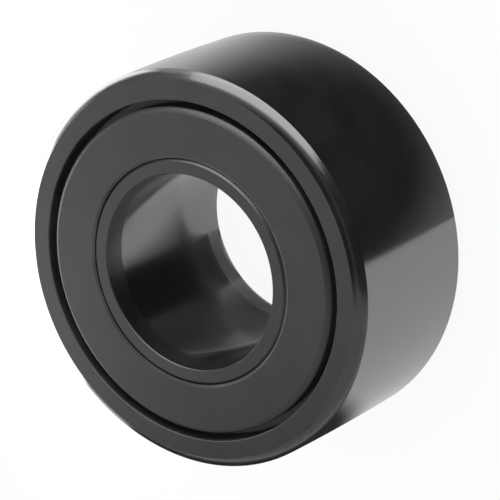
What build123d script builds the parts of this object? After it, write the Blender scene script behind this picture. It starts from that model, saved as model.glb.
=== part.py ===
from build123d import *

import math
import os

# A yoke-type cam roller: a crowned outer ring turns on caged needle rollers
# around an inner ring. Two end plates pressed on the inner ring close the
# bearing, and a slide ring behind each one seals it.
# Millimetres. The bearing axis is Z, and the roller stands on its rear face,
# with the origin at the middle of that face.

# Inner ring
bore_diameter = 30.0
inner_ring_width = 29.0
inner_ring_wall = 4.0
bore_mouth_step = 0.34
bore_edge_chamfer = 0.12
joint_chamfer = 0.45
lead_in_depth = 3.5
oil_hole_diameter = 2.5
oil_hole_direction = -90.0

# End plates
plate_thickness = 3.8
plate_seat_step = 1.45
plate_fit_clearance = 0.01
plate_edge_width = 0.75
plate_edge_depth = 0.6
plate_edge_radius = 2.0
plate_back_chamfer = 0.3
plate_joint_width = 0.4
plate_joint_depth = 0.16

# Needle rollers and their cage
needle_diameter = 4.0
needle_count = 20
needle_end_chamfer = 0.3
needle_end_clearance = 0.2
raceway_clearance = 0.02
cage_end_bar = 1.8
cage_end_clearance = 0.2
cage_bore_clearance = 0.8
cage_rim_clearance = 0.6
cage_chamfer = 0.3
pocket_clearance = 0.1

# Outer ring and slide rings
outer_face_step = 0.5
end_play = 0.8
front_play = 0.05
rim_thickness = 4.6
groove_width = 1.15
recess_edge_chamfer = 0.12
raceway_edge_chamfer = 0.3
crown_radius = 500.0
corner_radius = 4.0
corner_width = 1.65
corner_depth = 1.5
slide_ring_width = 3.36
slide_ring_thickness = 1.0
slide_ring_clearance = 0.05
lip_height = 0.25
lip_width = 0.6

# Radii, from the bore outwards
bore_radius = bore_diameter / 2
bore_mouth_radius = bore_radius + bore_mouth_step
inner_raceway_radius = bore_radius + inner_ring_wall
plate_seat_radius = inner_raceway_radius - plate_seat_step
needle_radius = needle_diameter / 2
pitch_radius = inner_raceway_radius + raceway_clearance + needle_radius
outer_raceway_radius = pitch_radius + needle_radius + raceway_clearance
recess_radius = outer_raceway_radius + slide_ring_width
plate_radius = recess_radius - groove_width
outer_radius = recess_radius + rim_thickness

# Heights, from the rear face upwards
middle_height = inner_ring_width / 2
plate_gap = inner_ring_width - 2 * plate_thickness
raceway_length = plate_gap - end_play - 2 * slide_ring_thickness
outer_ring_width = inner_ring_width - 2 * outer_face_step
outer_ring_height = middle_height + end_play / 2 - front_play
cage_length = plate_gap - 2 * cage_end_clearance
pocket_length = cage_length - 2 * cage_end_bar
needle_length = pocket_length - 2 * needle_end_clearance

os.makedirs("parts", exist_ok=True)


def save(piece, name):
    piece.part.label = name
    export_step(piece.part, f"parts/{name}.step")


def axial_plane(height, outward=1):
    # X runs out from the bearing axis, and Y up (1) or down (-1) along it
    return Plane(origin=(0, 0, height), x_dir=(1, 0, 0), z_dir=(0, -outward, 0))


# Inner ring: a plain bore with a shallow lead-in at both ends, a raceway
# outside, a stepped seat for each end plate, and one radial oil hole
ring_end = inner_ring_width / 2
inner_ring_half = [
    (bore_radius, ring_end - lead_in_depth),
    (bore_mouth_radius - bore_edge_chamfer, ring_end - bore_edge_chamfer),
    (bore_mouth_radius, ring_end),
    (plate_seat_radius - joint_chamfer, ring_end),
    (plate_seat_radius, ring_end - joint_chamfer),
    (plate_seat_radius, plate_gap / 2),
    (inner_raceway_radius, plate_gap / 2),
]
with BuildPart() as inner_ring:
    with BuildSketch(axial_plane(middle_height)):
        with BuildLine():
            Polyline(inner_ring_half + [(r, -z) for r, z in reversed(inner_ring_half)], close=True)
        make_face()
    revolve(axis=Axis.Z)
    with BuildSketch(Plane.YZ.rotated((0, 0, oil_hole_direction)).offset(bore_radius / 2)):
        with Locations((0, middle_height)):
            Circle(oil_hole_diameter / 2)
    extrude(amount=inner_raceway_radius, mode=Mode.SUBTRACT)
save(inner_ring, "inner_ring")


# End plates: flat washers pressed on the seats, flush with the inner ring's
# faces, with a rounded rim. Chamfers on both pieces make the joint line.
plate_bore_radius = plate_seat_radius + plate_fit_clearance
plate_rim_end = (plate_radius - plate_edge_width, 0)
plate_rim_start = (plate_radius, -plate_edge_depth)
plate_outline = [
    plate_rim_end,
    (plate_bore_radius + plate_joint_width, 0),
    (plate_bore_radius, -plate_joint_depth),
    (plate_bore_radius, -plate_thickness),
    (plate_radius - plate_back_chamfer, -plate_thickness),
    (plate_radius, plate_back_chamfer - plate_thickness),
    plate_rim_start,
]
for name, face_height, outward in (("rear_end_plate", 0, -1), ("front_end_plate", inner_ring_width, 1)):
    with BuildPart() as end_plate:
        with BuildSketch(axial_plane(face_height, outward)):
            with BuildLine():
                Polyline(plate_outline)
                RadiusArc(plate_rim_end, plate_rim_start, plate_edge_radius)
            make_face()
        revolve(axis=Axis.Z)
    save(end_plate, name)


# Outer ring: the tread is crowned, and its corners are turned round before the
# face and the tread are ground, so each corner has a crisp edge at both ends.
# A recess at each face takes an end plate and a slide ring.
raceway_end = raceway_length / 2
outer_end = outer_ring_width / 2
tread_end = outer_end - corner_depth
tread_end_radius = outer_radius - crown_radius + math.sqrt(crown_radius**2 - tread_end**2)
face_end_radius = tread_end_radius - corner_width
with BuildPart() as outer_ring:
    with BuildSketch(axial_plane(outer_ring_height)):
        with BuildLine():
            for side in (1, -1):
                Polyline(
                    (outer_raceway_radius, side * (raceway_end - raceway_edge_chamfer)),
                    (outer_raceway_radius + raceway_edge_chamfer, side * raceway_end),
                    (recess_radius, side * raceway_end),
                    (recess_radius, side * (outer_end - recess_edge_chamfer)),
                    (recess_radius + recess_edge_chamfer, side * outer_end),
                    (face_end_radius, side * outer_end),
                )
                RadiusArc(
                    (face_end_radius, side * outer_end),
                    (tread_end_radius, side * tread_end),
                    side * corner_radius,
                )
            ThreePointArc(
                (tread_end_radius, -tread_end),
                (outer_radius, 0),
                (tread_end_radius, tread_end),
            )
            Line(
                (outer_raceway_radius, raceway_edge_chamfer - raceway_end),
                (outer_raceway_radius, raceway_end - raceway_edge_chamfer),
            )
        make_face()
    revolve(axis=Axis.Z)
save(outer_ring, "outer_ring")


# Slide rings: each one lies on the floor of a recess and turns with the
# outer ring. A low lip near its bore runs on the end plate.
flange_thickness = slide_ring_thickness - lip_height
slide_ring_bore = outer_raceway_radius + raceway_edge_chamfer
slide_ring_outline = [
    (slide_ring_bore, 0),
    (recess_radius - slide_ring_clearance, 0),
    (recess_radius - slide_ring_clearance, flange_thickness),
    (slide_ring_bore + 2 * lip_width, flange_thickness),
    (slide_ring_bore + lip_width, slide_ring_thickness),
    (slide_ring_bore, slide_ring_thickness),
]
for name, outward in (("rear_slide_ring", -1), ("front_slide_ring", 1)):
    with BuildPart() as slide_ring:
        with BuildSketch(axial_plane(outer_ring_height + outward * raceway_end, outward)):
            with BuildLine():
                Polyline(slide_ring_outline, close=True)
            make_face()
        revolve(axis=Axis.Z)
    save(slide_ring, name)


# Needle cage: a ring between the raceways with one pocket for each needle.
# A pocket is rounder than the wall is thick, so its edges hold the needle.
cage_bottom = middle_height - cage_length / 2
with BuildPart() as needle_cage:
    with BuildSketch(Plane.XY.offset(cage_bottom)):
        Circle(outer_raceway_radius - cage_rim_clearance)
        Circle(inner_raceway_radius + cage_bore_clearance, mode=Mode.SUBTRACT)
    extrude(amount=cage_length)
    chamfer(needle_cage.edges().filter_by(GeomType.CIRCLE), cage_chamfer)
    with BuildSketch(Plane.XY.offset(middle_height - pocket_length / 2)):
        with PolarLocations(pitch_radius, needle_count):
            Circle(needle_radius + pocket_clearance)
    extrude(amount=pocket_length, mode=Mode.SUBTRACT)
save(needle_cage, "needle_cage")


# Needle rollers: all alike, with chamfered ends, one in each pocket
for number in range(needle_count):
    turn = math.radians(360 / needle_count * number)
    needle_foot = (
        pitch_radius * math.cos(turn),
        pitch_radius * math.sin(turn),
        middle_height - needle_length / 2,
    )
    with BuildPart() as needle:
        with BuildSketch(Plane(origin=needle_foot)):
            Circle(needle_radius)
        extrude(amount=needle_length)
        chamfer(needle.edges().filter_by(GeomType.CIRCLE), needle_end_chamfer)
    save(needle, f"needle_roller_{number + 1:02d}")

print(f"outer ring {2 * outer_radius:.2f} x {outer_ring_width:.2f}, overall {inner_ring_width:.2f}")
print(f"raceways {2 * inner_raceway_radius:.2f} and {2 * outer_raceway_radius:.2f}")
print(f"cage turns {outer_raceway_radius / (inner_raceway_radius + outer_raceway_radius):.6f} of a turn")
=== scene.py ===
import math

import bmesh
import bpy
from bpy.props import FloatProperty, FloatVectorProperty, PointerProperty
from bpy.types import NodeSocket, Operator, Panel, PropertyGroup
from mathutils import Matrix, Vector


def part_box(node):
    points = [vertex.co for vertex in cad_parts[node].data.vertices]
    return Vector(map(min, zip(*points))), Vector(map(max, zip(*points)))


bl_info = {
    "name": "Cam Roller",
    "version": (1, 0, 0),
    "blender": (4, 5, 0),
    "location": "3D View > Sidebar > Cam Roller",
    "description": "Gives a yoke-type cam roller its steel and plastic finishes, and a studio floor",
    "category": "Object",
}

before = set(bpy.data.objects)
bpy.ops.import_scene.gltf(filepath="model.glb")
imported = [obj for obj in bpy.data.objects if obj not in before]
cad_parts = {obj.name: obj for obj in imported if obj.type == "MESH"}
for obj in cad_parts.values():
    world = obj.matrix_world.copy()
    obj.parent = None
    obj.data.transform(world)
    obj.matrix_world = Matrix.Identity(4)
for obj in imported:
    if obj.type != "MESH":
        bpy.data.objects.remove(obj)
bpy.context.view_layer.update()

MM = 0.001

# Edges between faces that meet at more than this stay crisp
EDGE_ANGLE = math.radians(12)

# A face's tilt is the upright share of its normal: 1 on a level face and 0 on an upright wall
LEVEL_TILT = 0.999
SLOPE_TILT = 0.3
LEAD_IN_TILT = 0.02

# Length of a tool mark round the axis before it changes
MARK_LENGTH = 25 * MM

# The floor lies just under the roller and bends up at its far rim, as (radius, height) pairs
FLOOR_GAP = 0.05 * MM
FLOOR_PROFILE = [(0, -FLOOR_GAP), (1.2, -FLOOR_GAP), (1.4, 0.03), (1.5, 0.1), (1.55, 0.3)]

# Share of plain white in what camera and gloss see of the floor. The rest is paint, and takes the shadow
PLAIN_WHITE_SHARE = 0.92

# Grid of fins on the floor of the bore, in millimetres: it fills the rear of the bore, and a wedge of it
# in the middle has fins that run the other way
BORE_RADIUS = 15
GRID_PITCH = 0.25
GRID_FRONT = 7.7
FIN_HALF_THICKNESS = 0.01
WEDGE_TIP = 7.1
WEDGE_SLOPE = 0.577


def linear_colour(code):
    """Turns an sRGB colour such as #1a1b1c into the linear one that Blender's nodes take."""
    shares = [int(code[i : i + 2], 16) / 255 for i in (1, 3, 5)]
    return [s / 12.92 if s <= 0.04045 else ((s + 0.055) / 1.055) ** 2.4 for s in shares]


WHITE = (*linear_colour("#ffffff"), 1)


class RollerFinish(PropertyGroup):
    """Colours and surface sizes of the roller."""

    oxide_dark: FloatVectorProperty(
        name="Black oxide, dark",
        description="Darkest colour of the black oxide film on the rings and end plates",
        subtype="COLOR",
        min=0,
        max=1,
        default=linear_colour("#0d0d0e"),
    )
    oxide_light: FloatVectorProperty(
        name="Black oxide, light",
        description="Lightest colour of the black oxide film, in its faint clouds",
        subtype="COLOR",
        min=0,
        max=1,
        default=linear_colour("#39393b"),
    )
    polyamide: FloatVectorProperty(
        name="Polyamide",
        description="Colour of the moulded slide rings",
        subtype="COLOR",
        min=0,
        max=1,
        default=linear_colour("#565658"),
    )
    bearing_steel: FloatVectorProperty(
        name="Bearing steel",
        description="Colour of the bright ground needle rollers",
        subtype="COLOR",
        min=0,
        max=1,
        default=linear_colour("#c9c8c4"),
    )
    strip_steel: FloatVectorProperty(
        name="Cage steel",
        description="Colour of the cage's plain steel",
        subtype="COLOR",
        min=0,
        max=1,
        default=linear_colour("#8f8d88"),
    )
    cloud_size: FloatProperty(
        name="Oxide clouds",
        description="Width of one of the faint clouds in the black oxide film",
        unit="LENGTH",
        min=0.5 * MM,
        max=50 * MM,
        default=6 * MM,
    )
    turning_feed: FloatProperty(
        name="Turning feed",
        description="Distance between two turning marks on the faces and corners",
        unit="LENGTH",
        min=0.02 * MM,
        max=1 * MM,
        default=0.16 * MM,
    )
    # Real grinding marks are too fine to show, so these are drawn about ten times as wide
    grinding_pitch: FloatProperty(
        name="Grinding marks",
        description="Width of a grinding mark on the tread and in the bore",
        unit="LENGTH",
        min=0.01 * MM,
        max=1 * MM,
        default=0.25 * MM,
    )
    # Real dimples are finer too, and are drawn as coarse as they need to be to show
    tumbled_grain: FloatProperty(
        name="Tumbled grain",
        description="Width of one dimple that tumbling leaves on the flat faces",
        unit="LENGTH",
        min=0.02 * MM,
        max=1 * MM,
        default=0.18 * MM,
    )


class RollerStage(PropertyGroup):
    """Colours of the floor, room and cards, and the camera's place."""

    floor_colour: FloatVectorProperty(
        name="Floor",
        description="Colour of the pale studio floor",
        subtype="COLOR",
        min=0,
        max=1,
        default=linear_colour("#f6f6f6"),
    )
    room_colour: FloatVectorProperty(
        name="Room",
        description="Colour of the room above the floor, which lights the roller evenly",
        subtype="COLOR",
        min=0,
        max=1,
        default=linear_colour("#9a9a9a"),
    )
    dark_card_colour: FloatVectorProperty(
        name="Dark cards",
        description="Colour of the dark cards that the tread, the bore and the faces mirror",
        subtype="COLOR",
        min=0,
        max=1,
        default=linear_colour("#404040"),
    )
    grey_card_colour: FloatVectorProperty(
        name="Grey cards",
        description="Colour of the grey cards that the corners and the bore mirror",
        subtype="COLOR",
        min=0,
        max=1,
        default=linear_colour("#888888"),
    )
    pale_card_colour: FloatVectorProperty(
        name="Pale cards",
        description="Colour of the pale cards that the bore and the left corner mirror",
        subtype="COLOR",
        min=0,
        max=1,
        default=linear_colour("#e0e0e0"),
    )
    camera_height: FloatProperty(
        name="Camera height",
        description="Height of the camera above the floor",
        unit="LENGTH",
        min=0.05,
        max=2,
        default=0.398,
    )
    camera_reach: FloatProperty(
        name="Camera distance",
        description="Level distance from the roller's axis to the camera",
        unit="LENGTH",
        min=0.05,
        max=2,
        default=0.3115,
    )
    camera_tilt: FloatProperty(
        name="Camera tilt",
        description="Angle between the camera's line of sight and straight down",
        subtype="ANGLE",
        min=0,
        max=math.radians(90),
        default=math.radians(38.93),
    )
    camera_pan: FloatProperty(
        name="Camera pan",
        description="Turn of the line of sight about the vertical",
        subtype="ANGLE",
        min=math.radians(-10),
        max=math.radians(10),
        default=math.radians(0.12),
    )
    camera_roll: FloatProperty(
        name="Camera roll",
        description="Turn of the camera about its own line of sight",
        subtype="ANGLE",
        min=math.radians(-180),
        max=math.radians(180),
        default=math.radians(-114.93),
    )
    lens: FloatProperty(
        name="Focal length",
        description="Focal length on a 36 mm wide sensor",
        subtype="DISTANCE_CAMERA",
        min=10,
        max=500,
        default=233.5,
    )


def add_node(tree, kind, inputs=(), **settings):
    """Adds a node. Settings are its own properties, and inputs gives its sockets a value or another
    node's output."""
    made = tree.nodes.new(kind)
    for name, value in settings.items():
        setattr(made, name, value)
    for socket, value in dict(inputs).items():
        if isinstance(value, NodeSocket):
            tree.links.new(value, made.inputs[socket])
        else:
            made.inputs[socket].default_value = value
    return made


def new_material(name):
    """The material of that name, new or emptied, and its node tree."""
    material = bpy.data.materials.get(name) or bpy.data.materials.new(name)
    material.use_nodes = True
    material.node_tree.nodes.clear()
    return material, material.node_tree


def marks_vector(tree, along, pitch):
    """Coordinates whose last part changes once in pitch along the axis ("height") or outwards
    ("radius"), while the first two change slowly. So a pattern becomes long marks round the axis."""
    place = add_node(tree, "ShaderNodeTexCoord").outputs["Object"]
    slow = 1 / MARK_LENGTH
    level = add_node(tree, "ShaderNodeVectorMath", {0: place, 1: (slow, slow, 0)}, operation="MULTIPLY")
    if along == "radius":
        flat = add_node(tree, "ShaderNodeVectorMath", {0: place, 1: (1, 1, 0)}, operation="MULTIPLY")
        distance = add_node(
            tree, "ShaderNodeVectorMath", {0: flat.outputs["Vector"]}, operation="LENGTH"
        ).outputs["Value"]
    else:
        distance = add_node(tree, "ShaderNodeSeparateXYZ", {"Vector": place}).outputs["Z"]
    turns = add_node(tree, "ShaderNodeMath", {0: distance, 1: pitch}, operation="DIVIDE")
    upright = add_node(tree, "ShaderNodeCombineXYZ", {"Z": turns.outputs["Value"]})
    both = add_node(
        tree,
        "ShaderNodeVectorMath",
        {0: level.outputs["Vector"], 1: upright.outputs["Vector"]},
        operation="ADD",
    )
    return both.outputs["Vector"]


def grain_vector(tree, size):
    """Object coordinates in which one step of the pattern is size long."""
    place = add_node(tree, "ShaderNodeTexCoord")
    scaled = add_node(
        tree, "ShaderNodeVectorMath", {0: place.outputs["Object"], "Scale": 1 / size}, operation="SCALE"
    )
    return scaled.outputs["Vector"]


# The black oxide's finishes, which come from how the steel was worked before it was blackened. marks is
# "height" or "radius" for tool marks round the axis that lie above or outside each other, and "grain"
# for an even grain, and pitch names the setting with their size. The roughness goes up and down by
# spread from mark to mark, and depth is how deep they are. clouded is the share of the lighter colour in
# the film's clouds, and drawn_out says how far the marks draw the gloss out along the axis.
OXIDES = {
    # Tread and bore: close marks round the axis, and a soft mirror of the room
    "ground": {
        "marks": "height",
        "pitch": "grinding_pitch",
        "roughness": 0.17,
        "spread": 0.02,
        "depth": 0.0005 * MM,
        "clouded": 0.2,
        "drawn_out": 0.6,
    },
    # Outer corners: fine rings that break the highlight into streaks
    "turned": {
        "marks": "radius",
        "pitch": "turning_feed",
        "roughness": 0.2,
        "spread": 0.03,
        "depth": 0.001 * MM,
        "clouded": 0.3,
    },
    # Lead-ins of the bore: turned, and left duller than the ground bore
    "dull": {
        "marks": "height",
        "pitch": "turning_feed",
        "roughness": 0.3,
        "spread": 0.03,
        "depth": 0.001 * MM,
        "clouded": 0.5,
    },
    # Rounded rims of the end plates: turned, then dulled by tumbling
    "rim": {
        "marks": "radius",
        "pitch": "turning_feed",
        "roughness": 0.5,
        "spread": 0.04,
        "depth": 0.001 * MM,
        "clouded": 0.0,
    },
    # Flat faces: an even matt grain with no direction, grey under a soft light
    "tumbled": {
        "marks": "grain",
        "pitch": "tumbled_grain",
        "roughness": 0.42,
        "spread": 0.03,
        "depth": 0.002 * MM,
        "clouded": 0.15,
    },
    # Walls of the recesses and grooves: rough and dull, so that a little light stays in them
    "rough": {
        "marks": "height",
        "pitch": "turning_feed",
        "roughness": 0.6,
        "spread": 0.05,
        "depth": 0.004 * MM,
        "clouded": 1.0,
    },
}


def black_oxide(finish):
    """Steel under a black oxide film. The film is magnetite, which is nearly black in itself and mirrors
    more than paint does, with an index of 2.42."""
    settings = bpy.context.scene.roller_finish
    oxide = OXIDES[finish]
    pitch = getattr(settings, oxide["pitch"])
    material, tree = new_material(f"black_oxide_{finish}")
    cloud_vector = grain_vector(tree, settings.cloud_size)
    clouds = add_node(tree, "ShaderNodeTexNoise", {"Vector": cloud_vector, "Scale": 1.0, "Detail": 4.0})
    share = add_node(
        tree,
        "ShaderNodeMapRange",
        {"Value": clouds.outputs["Fac"], "From Min": 0.35, "From Max": 0.7, "To Max": oxide["clouded"]},
    )
    colour = add_node(
        tree,
        "ShaderNodeMix",
        {"Factor": share.outputs["Result"], 6: (*settings.oxide_dark, 1), 7: (*settings.oxide_light, 1)},
        data_type="RGBA",
    )
    if oxide["marks"] == "grain":
        vector = grain_vector(tree, pitch)
    else:
        vector = marks_vector(tree, oxide["marks"], pitch)
    marks = add_node(tree, "ShaderNodeTexNoise", {"Vector": vector, "Scale": 1.0, "Detail": 2.0})
    rough = add_node(
        tree,
        "ShaderNodeMapRange",
        {
            "Value": marks.outputs["Fac"],
            "From Min": 0.3,
            "From Max": 0.7,
            "To Min": oxide["roughness"] - oxide["spread"],
            "To Max": oxide["roughness"] + oxide["spread"],
        },
    )
    bump = add_node(
        tree,
        "ShaderNodeBump",
        {"Height": marks.outputs["Fac"], "Distance": oxide["depth"], "Strength": 1.0},
    )
    shader = add_node(
        tree,
        "ShaderNodeBsdfPrincipled",
        {
            "Base Color": colour.outputs[2],
            "Metallic": 0.0,
            "IOR": 2.42,
            "Roughness": rough.outputs["Result"],
            "Normal": bump.outputs["Normal"],
        },
    )
    if "drawn_out" in oxide:
        around = add_node(tree, "ShaderNodeTangent", direction_type="RADIAL", axis="Z")
        tree.links.new(around.outputs["Tangent"], shader.inputs["Tangent"])
        shader.inputs["Anisotropic"].default_value = oxide["drawn_out"]
        # A quarter turn, because the gloss spreads across the marks
        shader.inputs["Anisotropic Rotation"].default_value = 0.25
    add_node(tree, "ShaderNodeOutputMaterial", {"Surface": shader.outputs["BSDF"]})
    return material


def moulded_polyamide():
    """Polyamide, moulded: dark and matt. The grain that the spark-eroded mould gives it is finer than
    this on the real ring, and is drawn 0.12 mm wide so that it shows."""
    colour = bpy.context.scene.roller_finish.polyamide
    material, tree = new_material("polyamide_moulded")
    grain = add_node(
        tree, "ShaderNodeTexNoise", {"Vector": grain_vector(tree, 0.12 * MM), "Scale": 1.0, "Detail": 2.0}
    )
    bump = add_node(
        tree, "ShaderNodeBump", {"Height": grain.outputs["Fac"], "Distance": 0.01 * MM, "Strength": 1.0}
    )
    shader = add_node(
        tree,
        "ShaderNodeBsdfPrincipled",
        {
            "Base Color": (*colour, 1),
            "Metallic": 0.0,
            "IOR": 1.53,
            "Roughness": 0.55,
            "Normal": bump.outputs["Normal"],
        },
    )
    add_node(tree, "ShaderNodeOutputMaterial", {"Surface": shader.outputs["BSDF"]})
    return material


def bright_steel(name, colour, roughness, pitch, depth):
    """Uncoated steel with marks round its own axis: a clean mirror on ground steel, greyer on machined
    steel. Real marks are finer than pitch, which is as coarse as they need to be to show."""
    material, tree = new_material(name)
    vector = marks_vector(tree, "height", pitch)
    marks = add_node(tree, "ShaderNodeTexNoise", {"Vector": vector, "Scale": 1.0, "Detail": 2.0})
    rough = add_node(
        tree,
        "ShaderNodeMapRange",
        {"Value": marks.outputs["Fac"], "To Min": roughness - 0.05, "To Max": roughness + 0.05},
    )
    bump = add_node(
        tree, "ShaderNodeBump", {"Height": marks.outputs["Fac"], "Distance": depth, "Strength": 1.0}
    )
    shader = add_node(
        tree,
        "ShaderNodeBsdfPrincipled",
        {
            "Base Color": (*colour, 1),
            "Metallic": 1.0,
            "Roughness": rough.outputs["Result"],
            "Normal": bump.outputs["Normal"],
        },
    )
    add_node(tree, "ShaderNodeOutputMaterial", {"Surface": shader.outputs["BSDF"]})
    return material


def dress(node, *materials):
    """Gives a CAD node its materials, with the first of them on every face, and returns its mesh."""
    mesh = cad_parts[node].data
    mesh.set_sharp_from_angle(angle=EDGE_ANGLE)
    mesh.normals_split_custom_set([(0, 0, 0)] * len(mesh.loops))
    mesh.materials.clear()
    for material in materials:
        mesh.materials.append(material)
    for face in mesh.polygons:
        face.material_index = 0
    return mesh


def blacken(node, finishes, finish_of):
    """Gives a CAD node its black oxide, in these finishes. finish_of takes how far a face's middle is
    from the axis and the face's tilt, and says which of them that face has."""
    mesh = dress(node, *(black_oxide(finish) for finish in finishes))
    for face in mesh.polygons:
        radius = math.hypot(face.center.x, face.center.y)
        face.material_index = finishes.index(finish_of(radius, abs(face.normal.z)))


class ROLLER_OT_outer_ring(Operator):
    """Blackens the outer ring: ground tread, turned corners, tumbled faces, rough recesses"""

    bl_idname = "roller.outer_ring"
    bl_label = "Finish the outer ring"
    bl_options = {"REGISTER", "UNDO"}

    def execute(self, context):
        # The recesses and the raceway lie nearer the axis than the corners do
        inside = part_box("outer_ring")[1].x - 2 * MM

        def finish_of(radius, tilt):
            if tilt > LEVEL_TILT:
                return "tumbled"
            if radius < inside:
                return "rough"
            return "ground" if tilt < SLOPE_TILT else "turned"

        blacken("outer_ring", ("ground", "turned", "tumbled", "rough"), finish_of)
        return {"FINISHED"}


class ROLLER_OT_inner_ring(Operator):
    """Blackens the inner ring: ground bore and raceway, dull turned lead-ins, tumbled faces"""

    bl_idname = "roller.inner_ring"
    bl_label = "Finish the inner ring"
    bl_options = {"REGISTER", "UNDO"}

    def execute(self, context):
        def finish_of(radius, tilt):
            if tilt > SLOPE_TILT:
                return "tumbled"
            return "dull" if tilt > LEAD_IN_TILT else "ground"

        blacken("inner_ring", ("ground", "dull", "tumbled"), finish_of)
        return {"FINISHED"}


class ROLLER_OT_end_plates(Operator):
    """Blackens both end plates: tumbled faces, dulled rims and rough walls"""

    bl_idname = "roller.end_plates"
    bl_label = "Finish the end plates"
    bl_options = {"REGISTER", "UNDO"}

    def execute(self, context):
        rim_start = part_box("front_end_plate")[1].x - 1 * MM

        def finish_of(radius, tilt):
            if tilt > LEVEL_TILT:
                return "tumbled"
            return "rim" if radius > rim_start and tilt > SLOPE_TILT else "rough"

        for node in ("front_end_plate", "rear_end_plate"):
            blacken(node, ("tumbled", "rim", "rough"), finish_of)
        return {"FINISHED"}


class ROLLER_OT_slide_rings(Operator):
    """Gives both slide rings their moulded polyamide"""

    bl_idname = "roller.slide_rings"
    bl_label = "Finish the slide rings"
    bl_options = {"REGISTER", "UNDO"}

    def execute(self, context):
        polyamide = moulded_polyamide()
        for node in ("front_slide_ring", "rear_slide_ring"):
            dress(node, polyamide)
        return {"FINISHED"}


class ROLLER_OT_cage(Operator):
    """Gives the needle cage its machined steel"""

    bl_idname = "roller.cage"
    bl_label = "Finish the needle cage"
    bl_options = {"REGISTER", "UNDO"}

    def execute(self, context):
        colour = context.scene.roller_finish.strip_steel
        steel = bright_steel(
            "cage_steel_machined", colour, roughness=0.35, pitch=0.2 * MM, depth=0.001 * MM
        )
        dress("needle_cage", steel)
        return {"FINISHED"}


class ROLLER_OT_needles(Operator):
    """Gives every needle roller its ground and polished bearing steel"""

    bl_idname = "roller.needles"
    bl_label = "Finish the needle rollers"
    bl_options = {"REGISTER", "UNDO"}

    def execute(self, context):
        needles = sorted(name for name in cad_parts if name.startswith("needle_roller"))
        if not needles:
            raise RuntimeError("the frame has no needle rollers")
        colour = context.scene.roller_finish.bearing_steel
        steel = bright_steel(
            "bearing_steel_ground", colour, roughness=0.12, pitch=0.1 * MM, depth=0.0003 * MM
        )
        for node in needles:
            dress(node, steel)
        return {"FINISHED"}


def put_on_stage(name, mesh):
    """An object of that mesh which stands on the stage and isn't part of the roller."""
    made = bpy.data.objects.new(name, mesh)
    bpy.context.scene.collection.objects.link(made)
    return made


def turned_sheet(name, profile, first, last, steps):
    """A sheet that follows a profile of (radius, height) pairs round the axis from one angle to the
    other."""
    sheet = bmesh.new()
    rows = []
    for step in range(steps + 1):
        angle = first + (last - first) * step / steps
        rows.append([sheet.verts.new((r * math.cos(angle), r * math.sin(angle), z)) for r, z in profile])
    for row, after in zip(rows, rows[1:]):
        for i in range(len(profile) - 1):
            sheet.faces.new((row[i], after[i], after[i + 1], row[i + 1]))
    bmesh.ops.remove_doubles(sheet, verts=sheet.verts, dist=0.01 * MM)
    bmesh.ops.recalc_face_normals(sheet, faces=sheet.faces)
    mesh = bpy.data.meshes.new(name)
    sheet.to_mesh(mesh)
    sheet.free()
    for face in mesh.polygons:
        face.use_smooth = True
    return put_on_stage(name, mesh)


def wall_card(name, profile, first, last, material):
    """A bent card that stands round the stage from one angle, in degrees, to the other."""
    card = turned_sheet(name, profile, math.radians(first), math.radians(last), 24)
    card.data.materials.append(material)
    return card


def floor_card(name, outline, material):
    """A flat card between the floor and the roller, with its corners in millimetres."""
    mesh = bpy.data.meshes.new(name)
    mesh.from_pydata([(x * MM, y * MM, -0.5 * FLOOR_GAP) for x, y in outline], [], [range(len(outline))])
    mesh.materials.append(material)
    return put_on_stage(name, mesh)


def arc(radius, first, last):
    """Points round the axis at that radius, from one angle to the other, in degrees, at most 6 apart."""
    steps = math.ceil(abs(last - first) / 6)
    angles = [math.radians(first + (last - first) * i / steps) for i in range(steps + 1)]
    return [(radius * math.cos(a), radius * math.sin(a)) for a in angles]


def fins_along_y(first, last):
    """Lines for fins that stand along Y in the rear of the bore, from one X to the other."""
    places = [first + GRID_PITCH * (i + 0.5) for i in range(round((last - first) / GRID_PITCH))]
    return [
        ((x, GRID_FRONT), (x, math.sqrt(BORE_RADIUS**2 - x**2)))
        for x in places
        if x**2 + GRID_FRONT**2 < BORE_RADIUS**2
    ]


def fins_along_x(first, last):
    """Lines for fins that stand along X in a wedge in the rear of the bore, from one Y to the other."""
    places = [first + GRID_PITCH * i for i in range(round((last - first) / GRID_PITCH))]
    return [((-WEDGE_SLOPE * (y - WEDGE_TIP), y), (WEDGE_SLOPE * (y - WEDGE_TIP), y)) for y in places]


def bore_grid(name, lines, slimness, shade, white):
    """Low upright fins on the floor of the bore, like the grid of a softbox: shaded on the left of each
    line, white on its right. So each side of the bore mirrors its own shade. Slimness is the height of
    a fin as a multiple of the distance between two fins."""
    corners = []
    for (x0, y0), (x1, y1) in lines:
        aside = Vector((y0 - y1, x1 - x0)).normalized() * FIN_HALF_THICKNESS
        for side in (aside, -aside):
            ends = [(x0 + side.x, y0 + side.y), (x1 + side.x, y1 + side.y)]
            corners += [(x * MM, y * MM, 0) for x, y in ends]
            corners += [(x * MM, y * MM, slimness * GRID_PITCH * MM) for x, y in reversed(ends)]
    mesh = bpy.data.meshes.new(name)
    mesh.from_pydata(corners, [], [range(i, i + 4) for i in range(0, len(corners), 4)])
    mesh.materials.append(shade)
    mesh.materials.append(white)
    for number, face in enumerate(mesh.polygons):
        face.material_index = number % 2
    return put_on_stage(name, mesh)


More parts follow.
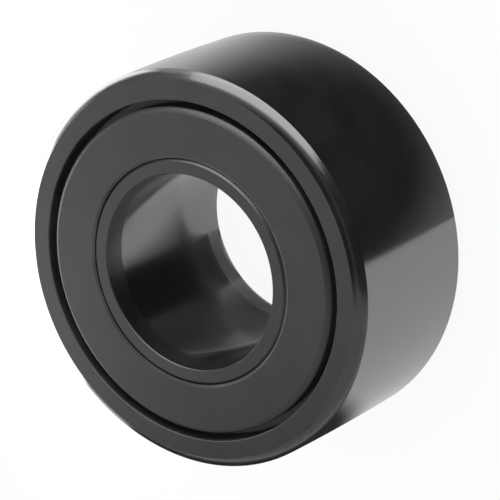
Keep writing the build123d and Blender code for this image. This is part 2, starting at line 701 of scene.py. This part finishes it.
def floor_paint(colour):
    """Matt paint that camera and gloss see mostly as plain white, and still with the roller's shadow."""
    material, tree = new_material("floor_paint_matt")
    path = add_node(tree, "ShaderNodeLightPath")
    seen = add_node(
        tree,
        "ShaderNodeMath",
        {0: path.outputs["Is Camera Ray"], 1: path.outputs["Is Glossy Ray"]},
        operation="MAXIMUM",
    )
    seen = add_node(
        tree,
        "ShaderNodeMath",
        {0: seen.outputs["Value"], 1: path.outputs["Is Transmission Ray"]},
        operation="MAXIMUM",
    )
    share = add_node(
        tree, "ShaderNodeMath", {0: seen.outputs["Value"], 1: PLAIN_WHITE_SHARE}, operation="MULTIPLY"
    )
    paint = add_node(tree, "ShaderNodeBsdfDiffuse", {"Color": (*colour, 1)})
    white = add_node(tree, "ShaderNodeEmission", {"Color": WHITE, "Strength": 1.0})
    mixed = add_node(
        tree,
        "ShaderNodeMixShader",
        {0: share.outputs["Value"], 1: paint.outputs["BSDF"], 2: white.outputs["Emission"]},
    )
    add_node(tree, "ShaderNodeOutputMaterial", {"Surface": mixed.outputs["Shader"]})
    return material


def card_cloth(name, colour, along=None, dark_at=0, clear_at=0):
    """Matt cloth. With along, a direction on the floor, it thins out between two distances, in
    millimetres, that are measured from the roller's axis in that direction."""
    material, tree = new_material(name)
    cloth = add_node(tree, "ShaderNodeBsdfDiffuse", {"Color": (*colour, 1)}).outputs["BSDF"]
    if along:
        place = add_node(tree, "ShaderNodeTexCoord")
        reach = add_node(
            tree,
            "ShaderNodeVectorMath",
            {0: place.outputs["Object"], 1: (*along, 0)},
            operation="DOT_PRODUCT",
        )
        share = add_node(
            tree,
            "ShaderNodeMapRange",
            {"Value": reach.outputs["Value"], "From Min": dark_at * MM, "From Max": clear_at * MM},
            interpolation_type="SMOOTHSTEP",
        )
        clear = add_node(tree, "ShaderNodeBsdfTransparent")
        cloth = add_node(
            tree, "ShaderNodeMixShader", {0: share.outputs["Result"], 1: cloth, 2: clear.outputs["BSDF"]}
        ).outputs["Shader"]
    add_node(tree, "ShaderNodeOutputMaterial", {"Surface": cloth})
    return material


def lit_panel():
    """A lit panel in the floor, four times as bright as the floor's white."""
    material, tree = new_material("light_panel_white")
    light = add_node(tree, "ShaderNodeEmission", {"Color": WHITE, "Strength": 4.0})
    add_node(tree, "ShaderNodeOutputMaterial", {"Surface": light.outputs["Emission"]})
    return material


def lamp(name, place, aim, size, radiance, mirrored=True):
    """Adds a softbox of that width and height, radiance times as bright as the floor's white."""
    data = bpy.data.lights.new(name, "AREA")
    data.shape = "RECTANGLE"
    data.size, data.size_y = size
    data.energy = radiance * math.pi * size[0] * size[1]
    made = bpy.data.objects.new(name, data)
    made.location = place
    made.rotation_euler = (Vector(aim) - Vector(place)).to_track_quat("-Z", "Y").to_euler()
    made.visible_camera = False
    made.visible_glossy = mirrored
    bpy.context.scene.collection.objects.link(made)


class ROLLER_OT_stage(Operator):
    """Sets up the floor, the cards, the room, the lamps and the camera"""

    bl_idname = "roller.stage"
    bl_label = "Set up the stage"
    bl_options = {"REGISTER", "UNDO"}

    def execute(self, context):
        scene = context.scene
        stage = scene.roller_stage
        paint = floor_paint(stage.floor_colour)
        floor = turned_sheet("floor", FLOOR_PROFILE, 0, 2 * math.pi, 96)
        floor.data.materials.append(paint)
        self.cards(stage, paint)
        self.room(scene, stage)
        lamp(
            "key_softbox",
            place=(0.54, -0.33, 0.25),
            aim=(0, 0, 0.01),
            size=(0.9, 0.46),
            radiance=2.0,
        )
        lamp(
            "rim_softbox",
            place=(0.021, 0.075, 0.026),
            aim=(0.015, 0.03, 0.026),
            size=(0.07, 0.052),
            radiance=3.0,
        )
        lamp(
            "top_softbox",
            place=(-0.1, 0.1, 0.8),
            aim=(0, 0, 0),
            size=(0.8, 0.8),
            radiance=2.0,
            mirrored=False,
        )
        self.camera(scene, stage)
        return {"FINISHED"}

    def cards(self, stage, white):
        """Dark, grey and pale cards and a lit panel round the roller. Only gloss sees them, as in a
        photographer's dark room, and one of the dark cards is a painted shadow of the roller on the
        floor."""
        dark = stage.dark_card_colour
        black = card_cloth("card_cloth_black", dark)
        grey = card_cloth("card_cloth_grey", stage.grey_card_colour)
        pale = card_cloth("card_cloth_pale", stage.pale_card_colour)
        tread_fade = card_cloth("card_cloth_tread", dark, along=(-0.34, 0.94), dark_at=-37, clear_at=-10)
        bore_fade = card_cloth("card_cloth_bore", dark, along=(-0.83, 0.56), dark_at=2, clear_at=9)
        # Painted shadow: clear within the roller's rim and dark from the rim outwards, as the roller's
        # own shadow on the floor
        painted_shadow_fade = card_cloth("card_cloth_painted_shadow", dark, along=(-0.6, 0.8), dark_at=29.5, clear_at=21)
        tread_outline = [(-90, -131), (-560, -730), (300, -860), (900, -200), (400, 20)]
        painted_shadow_outline = [(-30, 10), (-28, -20), (-60, -60), (-1000, -100)]
        painted_shadow_outline += [(-1000, 700), (-280, 1000), (-30, 84), (-20, 42)]
        bore_side_outline = [(0, 7.74), (12.5, -13.9), (18, 0), (17, 8.5), (0.45, 8.5)]
        cards = [
            floor_card("tread_card", arc(32, 0, -108) + tread_outline, tread_fade),
            # Painted shadow of the roller on the floor, seen only in the gloss of the lower left of the
            # tread; further out the same dark card stands as a dark room
            floor_card("painted_shadow_card", painted_shadow_outline, painted_shadow_fade),
            floor_card("bore_card_front", [(0, 7.8), (-14, -13.7), (0, -18), (12.5, -13.9)], black),
            floor_card("bore_card_left", [(0, 7.8), (-15, 10), (-20, 0), (-14, -13.7)], bore_fade),
            floor_card("bore_card_side", bore_side_outline, grey),
            bore_grid("bore_grid_left", fins_along_y(-13, 0), 1.25, pale, white),
            bore_grid("bore_grid_right", fins_along_y(0, 13), 1.25, grey, white),
            bore_grid("bore_grid_front", fins_along_x(7.9, 12.4), 2.0, black, white),
            bore_grid("bore_grid_rear", fins_along_x(12.4, 14.8), 1.25, pale, white),
            floor_card("light_panel", arc(75, 18, 80) + arc(900, 80, 18), lit_panel()),
            wall_card("camera_card", [(0.8, 0.0), (0.8, 0.5), (0.7, 0.8)], -136, -68, black),
            wall_card("ceiling_card", [(0.75, 0.95), (0.16, 0.95)], -148, 25, black),
            wall_card("left_wall_card", [(0.95, 0.0), (0.95, 0.2)], 112, 215, pale),
            wall_card("face_card", [(0.08, 0.06), (0.08, 0.125)], 113, 168, black),
            wall_card("right_wall_card", [(0.9, 0.0), (0.9, 0.25)], 15, 45, grey),
        ]
        for card in cards:
            card.visible_camera = False
            card.visible_diffuse = False
            card.visible_shadow = False

    def room(self, scene, stage):
        """An even grey room above the floor, shown in Blender's Standard view."""
        world = bpy.data.worlds.new("room")
        world.use_nodes = True
        tree = world.node_tree
        tree.nodes.clear()
        colour = (*stage.room_colour, 1)
        light = add_node(tree, "ShaderNodeBackground", {"Color": colour, "Strength": 1.0})
        add_node(tree, "ShaderNodeOutputWorld", {"Surface": light.outputs["Background"]})
        scene.world = world
        scene.view_settings.view_transform = "Standard"

    def camera(self, scene, stage):
        """The photograph's camera: it looks down on the roller's face and is turned about its line of
        sight."""
        data = bpy.data.cameras.new("camera")
        data.sensor_width = 36
        data.lens = stage.lens
        data.shift_x = -0.0069
        data.shift_y = -0.0057
        data.clip_start = 0.01
        data.clip_end = 20
        made = bpy.data.objects.new("camera", data)
        turn = (
            Matrix.Rotation(stage.camera_pan, 4, "Z")
            @ Matrix.Rotation(stage.camera_tilt, 4, "X")
            @ Matrix.Rotation(stage.camera_roll, 4, "Z")
        )
        made.matrix_world = Matrix.Translation((0, -stage.camera_reach, stage.camera_height)) @ turn
        scene.collection.objects.link(made)
        scene.camera = made


class ROLLER_PT_panel(Panel):
    """Lists the roller's pieces and its stage"""

    bl_idname = "ROLLER_PT_panel"
    bl_label = "Cam Roller"
    bl_space_type = "VIEW_3D"
    bl_region_type = "UI"
    bl_category = "Cam Roller"

    def draw(self, context):
        layout = self.layout
        for operator in OPERATORS:
            layout.operator(operator.bl_idname)
        for settings in (context.scene.roller_finish, context.scene.roller_stage):
            column = layout.column()
            for name in settings.__annotations__:
                column.prop(settings, name)


OPERATORS = (
    ROLLER_OT_outer_ring,
    ROLLER_OT_inner_ring,
    ROLLER_OT_end_plates,
    ROLLER_OT_slide_rings,
    ROLLER_OT_cage,
    ROLLER_OT_needles,
    ROLLER_OT_stage,
)
CLASSES = (RollerFinish, RollerStage, *OPERATORS, ROLLER_PT_panel)


def register():
    for each in CLASSES:
        bpy.utils.register_class(each)
    bpy.types.Scene.roller_finish = PointerProperty(type=RollerFinish)
    bpy.types.Scene.roller_stage = PointerProperty(type=RollerStage)


def unregister():
    del bpy.types.Scene.roller_stage
    del bpy.types.Scene.roller_finish
    for each in reversed(CLASSES):
        bpy.utils.unregister_class(each)


def main():
    register()
    bpy.ops.roller.outer_ring()
    bpy.ops.roller.inner_ring()
    bpy.ops.roller.end_plates()
    bpy.ops.roller.slide_rings()
    bpy.ops.roller.cage()
    bpy.ops.roller.needles()
    bpy.ops.roller.stage()


if __name__ == "__main__":
    main()
